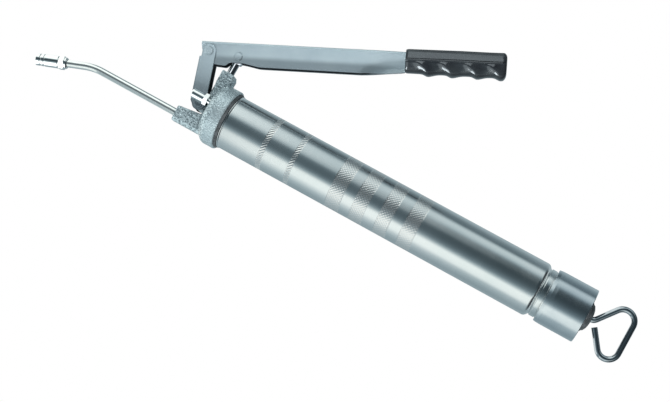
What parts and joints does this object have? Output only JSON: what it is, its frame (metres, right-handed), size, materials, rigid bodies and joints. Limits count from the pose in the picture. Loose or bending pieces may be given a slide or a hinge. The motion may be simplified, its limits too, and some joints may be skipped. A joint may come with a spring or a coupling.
{
  "type": "lever grease gun",
  "caption": "Hand lever grease gun: tubular barrel with a spring follower and wire pull handle, cast pump head, channel lever with black grip, bent outlet tube and hydraulic coupler.",
  "frame": {"origin": "under the middle of the gun, level with its lowest point, the coupler; the barrel's axis runs along X 44.3 mm above it and the barrel's front lip is at x -116.8 mm", "axes": "+X along the barrel towards the pull handle, +Z from the barrel towards the lever, +Y across"},
  "size_m": [0.6608, 0.0636, 0.2326],
  "materials": {
    "hammered_paint": "blue-grey hammered paint on a casting",
    "lever_paint": "smooth satin blue-grey paint",
    "brushed_steel": "bright drawn steel with rolled knurled bands",
    "chrome": "polished plating",
    "zinc": "bright zinc plating",
    "spring_steel": "oiled spring wire",
    "black_plastic": "gloss moulded",
    "black_rubber": "matt"
  },
  "bodies": {
    "head": {"head_casting": "hammered_paint", "plunger_seal": "black_rubber", "outlet_valve_spring": "spring_steel", "loader_fitting": "chrome", "loader_spring": "spring_steel", "link_foot_pin": "zinc", "foot_pin_clip": "spring_steel", "outlet_tube": "zinc", "coupler_body": "chrome", "coupler_jaws": "zinc", "coupler_spring": "spring_steel"},
    "link": {"link": "lever_paint"},
    "lever": {"lever": "lever_paint", "grip": "black_plastic", "link_head_pin": "lever_paint", "plunger_pin": "lever_paint"},
    "plunger": {"plunger": "chrome"},
    "gasket": {"barrel_gasket": "black_rubber"},
    "barrel": {"barrel_tube": "brushed_steel", "end_cap": "brushed_steel", "rod_gland": "black_plastic", "follower_spring": "spring_steel"},
    "follower": {"follower_cup": "black_rubber", "follower_front_washer": "zinc", "follower_rear_washer": "zinc"},
    "rod": {"follower_rod": "chrome", "follower_nut": "zinc"},
    "outlet_ball": {"outlet_valve_ball": "chrome"},
    "loader_ball": {"loader_ball": "chrome"},
    "coupler_sleeve": {"coupler_sleeve": "chrome"},
    "coupler_seal": {"coupler_seal": "black_rubber"}
  },
  "joints": [
    {"name": "link_swing", "type": "hinge", "parent": "head", "child": "link", "pos_m": [-0.1538, 0, 0.0453], "axis": [0, -1, 0], "range_deg": [-10.1, 4.9]},
    {"name": "lever_hinge", "type": "hinge", "parent": "link", "child": "lever", "pos_m": [-0.17109, 0, 0.09698], "axis": [0, -1, 0], "range_deg": [-24, 50]},
    {"name": "plunger_stroke", "type": "slide", "parent": "head", "child": "plunger", "axis": [0, 0, 1], "range_m": [-0.01, 0.0207]},
    {"name": "gasket_advance", "type": "slide", "parent": "head", "child": "gasket", "axis": [1, 0, 0], "range_m": [0, 0.0091]},
    {"name": "barrel_unscrew", "type": "hinge", "parent": "gasket", "child": "barrel", "pos_m": [-0.1168, 0, 0.0443], "axis": [1, 0, 0], "range_deg": [0, 1080]},
    {"name": "follower_slide", "type": "slide", "parent": "barrel", "child": "follower", "axis": [1, 0, 0], "range_m": [0, 0.235], "deforming": ["follower_spring"]},
    {"name": "rod_turn", "type": "hinge", "parent": "follower", "child": "rod", "pos_m": [-0.1168, 0, 0.0443], "axis": [1, 0, 0], "continuous": true},
    {"name": "outlet_ball_lift", "type": "slide", "parent": "head", "child": "outlet_ball", "axis": [-1, 0, 0], "range_m": [0, 0.001], "deforming": ["outlet_valve_spring"]},
    {"name": "loader_ball_lift", "type": "slide", "parent": "head", "child": "loader_ball", "axis": [1, 0, 0], "range_m": [0, 0.0012], "deforming": ["loader_spring"]},
    {"name": "coupler_sleeve_turn", "type": "hinge", "parent": "head", "child": "coupler_sleeve", "pos_m": [-0.29711, 0, 0.01692], "axis": [0.9397, 0, 0.342], "range_deg": [-180, 180]},
    {"name": "coupler_seal_press", "type": "slide", "parent": "head", "child": "coupler_seal", "axis": [0.9397, 0, 0.342], "range_m": [0, 0.0012], "deforming": ["coupler_spring"]}
  ],
  "couplings": [
    {"joint": "link_swing", "follows": "lever_hinge", "ratio": -0.2},
    {"joint": "plunger_stroke", "follows": "lever_hinge", "m_per_rad": 0.02357},
    {"joint": "gasket_advance", "follows": "barrel_unscrew", "m_per_rad": 0.00047746}
  ]
}
